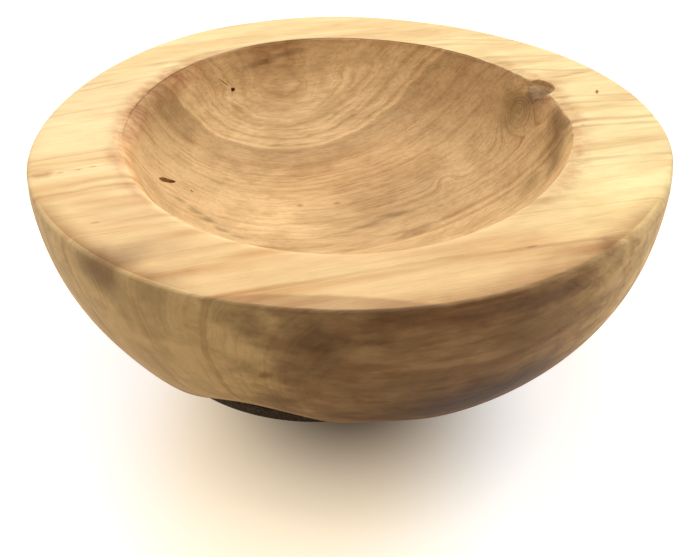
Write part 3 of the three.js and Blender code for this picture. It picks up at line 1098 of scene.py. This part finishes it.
# %% Layers of the wood, each a strength and a tone
def grown_layers(place, grain, count, zone_of, figure_of):
    """What grew with the wood: streaks, rings, vessels, fibres, clouds, mottling and the brown heart, which
    holds painted shade at the back right of the hollow.
    """
    along, _, _ = grain.parts()
    _, y, _ = place.parts()
    on_rim, in_hollow, on_belly = zone_of["rim"], zone_of["hollow"], zone_of["belly"]
    streaks = figure_of["streaks"]
    off_the_left = along.ramp(-85, -30)
    # Streaks that run along the grain would end as blots on the end grain, so they are weak there
    block_ends = along.maths("ABSOLUTE", along).ramp(60, 115) * on_belly
    oiled = streaks * (0.8 - block_ends * 0.62) + block_ends * 0.30
    yield oiled * on_belly * off_the_left, OILED_STREAK
    yield streaks * on_rim * 0.18, RIM_STREAK
    front_left = y.ramp(-50, -105) * along.ramp(20, -50)
    yield figure_of["broad_streaks"] * on_rim * (0.55 + front_left * 0.4), RIM_STREAK

    brown, pale = brown_heart_and_gouge_shade(grain, count, zone_of)
    whorl = patch_mask(grain, *WHORL)
    worn_floor = patch_mask(grain, *WORN_FLOOR) * in_hollow
    # How strongly the fine rings show, and where they are quiet
    lines = 0.07 + in_hollow * 0.48 + on_belly * 0.19 + block_ends * 0.12 + whorl * in_hollow * 0.4
    quiet = (1 - brown * (1 - whorl) * 0.75) * (1 - worn_floor * 0.65)
    yield figure_of["late_wood"] * lines * quiet, LATE_WOOD
    for middle, half_width, strength in DARK_RINGS:
        yield ring_mask(count, middle, half_width) * figure_of["breaks"] * strength, LATE_WOOD

    yield figure_of["vessels"] * (0.08 + in_hollow * 0.30), VESSELS
    yield figure_of["fibres"] * (0.10 + off_the_left * 0.16 + in_hollow * 0.30), CLOUD
    yield figure_of["clouds"].ramp(0.40, 0.66) * (0.85 - on_rim * 0.45 - block_ends * 0.5), CLOUD
    yield figure_of["mottle"] * (on_belly * 0.70 - block_ends * 0.20), MOTTLE
    yield figure_of["speckle"] * (on_belly * 0.30 - block_ends * 0.15), MOTTLE
    # the brown heart, with painted shade at the back right of the hollow
    yield brown, BROWN
    yield pale * 0.55, PALER


def edge_layers(zone_of, figure_of):
    """What tools and hands did to the rim and its edges, with a painted highlight at the front left of the
    hollow's edge and painted shade along its back and on the pared flat at the front.
    """
    yield figure_of["blush"] * zone_of["rim"] * 0.30, PINK
    yield zone_of["torn"], TORN
    # painted highlight along the front left of the hollow's edge
    yield zone_of["ridge_highlight"] * 0.60, PALER
    # painted shade along the back of the hollow's edge, just under the rim
    yield zone_of["back_edge_shade"] * 0.45, BROWN
    yield zone_of["worn_edge"], WORN
    # painted shade on the pared flat at the front of the rim
    yield zone_of["shaded_facet"] * 0.85, FACET_SHADE


def stain_and_light_layers(grain, in_hollow):
    """Stains, painted shade and painted light, each kept to its own side of the hollow's edge."""
    drift = grain.node(
        "ShaderNodeTexNoise", {"noise_dimensions": "3D"},
        {"Vector": grain, "Scale": WANDER_SCALE, "Detail": 3.0}, "Color",
    )
    wander = grain.vector("ADD", drift.vector("SUBTRACT", (0.5, 0.5, 0.5)).vector("MULTIPLY", WANDER))
    for patches, where in ((OUTER_STAINS_LIGHT_AND_SHADE, 1 - in_hollow), (HOLLOW_STAINS_LIGHT_AND_SHADE, in_hollow)):
        for middle, half_sizes, tone, strength in patches:
            outline = wander if min(half_sizes) > CRISP_BELOW else grain
            yield patch_mask(outline, middle, half_sizes) * where * strength, tone


print("layers ready")

# %% Put the wood together
def wood_finish():
    material, shader, place = new_finish("hewn_wood_finish")
    shader.inputs["Specular IOR Level"].default_value = WOOD_SHINE
    grain = grain_frame(place)
    count = ring_count(place, grain)
    zone_of = zones(place, grain)
    figure_of = figure(grain, count)
    colour = base_tones(place, grain, zone_of, figure_of)
    for layers in (
        grown_layers(place, grain, count, zone_of, figure_of),
        edge_layers(zone_of, figure_of),
        stain_and_light_layers(grain, zone_of["hollow"]),
    ):
        for strength, tone in layers:
            colour = strength.paint(colour, tone, "MULTIPLY")
    cut = place.node("ShaderNodeAttribute", {"attribute_name": CUT_MARK}, output="Fac")
    feed(shader, "Base Color", cut.paint(colour, RAW_CUT))

    late_wood, clouds = figure_of["late_wood"], figure_of["clouds"]
    feed(shader, "Roughness", 0.50 + clouds * 0.12 + late_wood * 0.06)
    relief = late_wood * -0.5 + figure_of["vessels"] * -0.5 + figure_of["fibres"] * -0.4 + clouds * 0.6
    feed_bump(shader, relief, 0.35)
    return material


bowl.data.materials.append(wood_finish())
print("wood finish:", len(bowl.data.materials[0].node_tree.nodes), "nodes")

# %% [markdown]
# ## The cork finish
# Pressed cork is a crowd of small granules, each a little lighter or darker, with dark joins between them.
# Plain noise would look like stone. A Voronoi texture gives each granule its own tone and the distance to
# its edge.

# %% Cork granules
CORK_DARK = (0.085, 0.056, 0.030, 1)
CORK_PALE = (0.15, 0.102, 0.056, 1)
CORK_JOIN = (0.035, 0.022, 0.012, 1)
GRANULES_PER_MM = 0.45


def cork_finish():
    material, shader, place = new_finish("dark_cork_finish")
    granules = {"Vector": place, "Scale": GRANULES_PER_MM}
    tone = place.node("ShaderNodeTexVoronoi", inputs=granules, output="Color").parts()[0]
    edge = place.node("ShaderNodeTexVoronoi", {"feature": "DISTANCE_TO_EDGE"}, granules, "Distance")
    colour = edge.ramp(0.0, 0.12).paint(CORK_JOIN, tone.paint(CORK_DARK, CORK_PALE))
    feed(shader, "Base Color", colour)
    feed(shader, "Roughness", 0.82 + tone * 0.12)
    feed_bump(shader, edge.ramp(0.0, 0.2), 0.5)
    return material


cork.data.materials.append(cork_finish())
print("cork finish:", len(cork.data.materials[0].node_tree.nodes), "nodes")

# %% [markdown]
# ## Tying the pieces to the frame
# Each piece rides on the one body that the bowl has and says which CAD node it stands for, and that node is
# hidden.

# %% Ride and replace
for piece, node, slot in ((bowl, "bowl_body", "hewn_wood"), (cork, "cork_base", "dark_cork")):
    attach(piece, "root")
    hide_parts(node)
    print(piece.name, "stands for", node)

# %% [markdown]
# ## Floor and world
# The bowl stands on a white sheet in a white room. A sheet that only glows would lose the shadow, so it is
# lit like anything else, and only what the camera and mirrors see of it is lifted towards white: least
# under the front of the bowl, and in a warmer tone there, for the light that the wood throws back.

# %% Floor and world
FLOOR_SIZE = 8.0
FLOOR_TONE = (0.60, 0.505, 0.39, 1)
FLOOR_ROUGHNESS = 0.9
FLOOR_SHINE = 0.1
FLOOR_LIFT = 0.80
WHITE = (1, 1, 1, 1)
BLACK = (0, 0, 0, 1)
SHADE_TONE = (1.0, 0.84, 0.62, 1)  # what is left of white near the bowl
FAR_TONE = (1.25, 1.25, 1.25, 1)  # far off, where the lamps fade, the sheet is lifted all the way to white
SHADOW_MIDDLE = (0, -75, 0)  # in mm, under the front of the bowl
SHADOW_REACH = (102, 97, 1000)  # in mm, where the lift is full on each side
WARM_MIDDLE = (-22, -100, 0)  # in mm, where the light that the wood throws back is strongest
WARM_REACH = (105, 170, 1000)  # in mm, where none of it is left
FAR_OFF = (500, 2500)  # in mm, where the far tone begins and where it is full
WORLD_LEVEL = 0.28


def seen_rays(tree):
    """1 for rays from the camera, from gloss and through glass, 0 for rays that carry light."""
    path = tree.nodes.new("ShaderNodeLightPath")
    seen = [Field(path.outputs[name]) for name in ("Is Camera Ray", "Is Glossy Ray", "Is Transmission Ray")]
    return seen[0].maths("MAXIMUM", seen[0], seen[1].maths("MAXIMUM", seen[1], seen[2]))


def floor_sheet():
    clear_selection()
    bpy.ops.mesh.primitive_plane_add(size=FLOOR_SIZE)
    sheet = bpy.context.object
    sheet.name = "floor"
    material, shader, place = new_finish("white_floor")
    shader.inputs["Base Color"].default_value = FLOOR_TONE
    shader.inputs["Roughness"].default_value = FLOOR_ROUGHNESS
    shader.inputs["Specular IOR Level"].default_value = FLOOR_SHINE
    shader.inputs["Emission Strength"].default_value = FLOOR_LIFT
    lifted = seen_rays(material.node_tree) * place.gap_from(SHADOW_MIDDLE, SHADOW_REACH).ramp(0.05, 1.0)
    clear_tone = place.length().ramp(*FAR_OFF).paint(WHITE, FAR_TONE)
    lift_tone = place.gap_from(WARM_MIDDLE, WARM_REACH).ramp(0.3, 0.95).paint(SHADE_TONE, clear_tone)
    feed(shader, "Emission Color", lifted.paint(BLACK, lift_tone))
    sheet.data.materials.append(material)
    return sheet


def white_world():
    world = bpy.data.worlds.new("white_room")
    world.use_nodes = True
    background = world.node_tree.nodes["Background"]
    level = seen_rays(world.node_tree).ramp(0, 1, WORLD_LEVEL, 1.0)
    world.node_tree.links.new(level.socket, background.inputs["Strength"])
    background.inputs["Color"].default_value = WHITE
    bpy.context.scene.world = world


floor = floor_sheet()
white_world()
print(floor.name, FLOOR_SIZE, "m wide")

# %% [markdown]
# ## Lamps
# The light is soft and comes mostly from above, so the hollow is bright and the belly falls into shade.
# Bare bulbs would draw hard shadows. A large lamp hangs overhead, a wide low one at the back puts a sheen
# on the far rim, and two weak ones keep the sides from going dark.

# %% Lamps
# Each lamp: place, width and height in metres, power in watts
LAMPS = {
    "overhead_softbox": ((0.05, 0.35, 1.45), (1.4, 1.2), 19.0),
    "back_softbox": ((0.15, 1.40, 0.60), (2.2, 0.7), 10.0),
    "left_softbox": ((-1.30, 0.15, 0.50), (0.8, 0.8), 2.5),
    "right_softbox": ((1.30, 0.05, 0.50), (0.8, 0.8), 2.8),
}


def softbox(name, place, size, power):
    """A rectangular soft lamp that faces the bowl."""
    clear_selection()
    bpy.ops.object.light_add(type="AREA", location=place)
    lamp = bpy.context.object
    lamp.name = name
    lamp.data.shape = "RECTANGLE"
    lamp.data.size, lamp.data.size_y = size
    lamp.data.energy = power
    towards_bowl = -lamp.location
    lamp.rotation_euler = towards_bowl.to_track_quat("-Z", "Y").to_euler()
    return lamp


for name, (place, size, power) in LAMPS.items():
    softbox(name, place, size, power)
    print(name, power, "W")

# %% [markdown]
# ## Camera
# The picture is taken from close by and above, so the near side of the bowl looks large. A long lens from
# further off would flatten the rim. The place and the lens were found by fitting both edges of the rim.

# %% Camera
CAMERA_PLACE = (4.746 * MM, -375.767 * MM, 291.124 * MM)
CAMERA_PITCH = math.radians(36.155)
CAMERA_TURN = math.radians(1.64)
CAMERA_LENS = 44.6
SENSOR_WIDTH = 36
NEAREST_SEEN = 10 * MM

clear_selection()
bpy.ops.object.camera_add(
    location=CAMERA_PLACE, rotation=(math.pi / 2 - CAMERA_PITCH, 0, CAMERA_TURN)
)
camera = bpy.context.object
camera.data.sensor_width = SENSOR_WIDTH
camera.data.lens = CAMERA_LENS
camera.data.clip_start = NEAREST_SEEN
bpy.context.scene.camera = camera
bpy.context.scene.view_settings.view_transform = "Standard"
print("camera lens", CAMERA_LENS, "mm, looking down", round(math.degrees(CAMERA_PITCH), 1), "degrees")
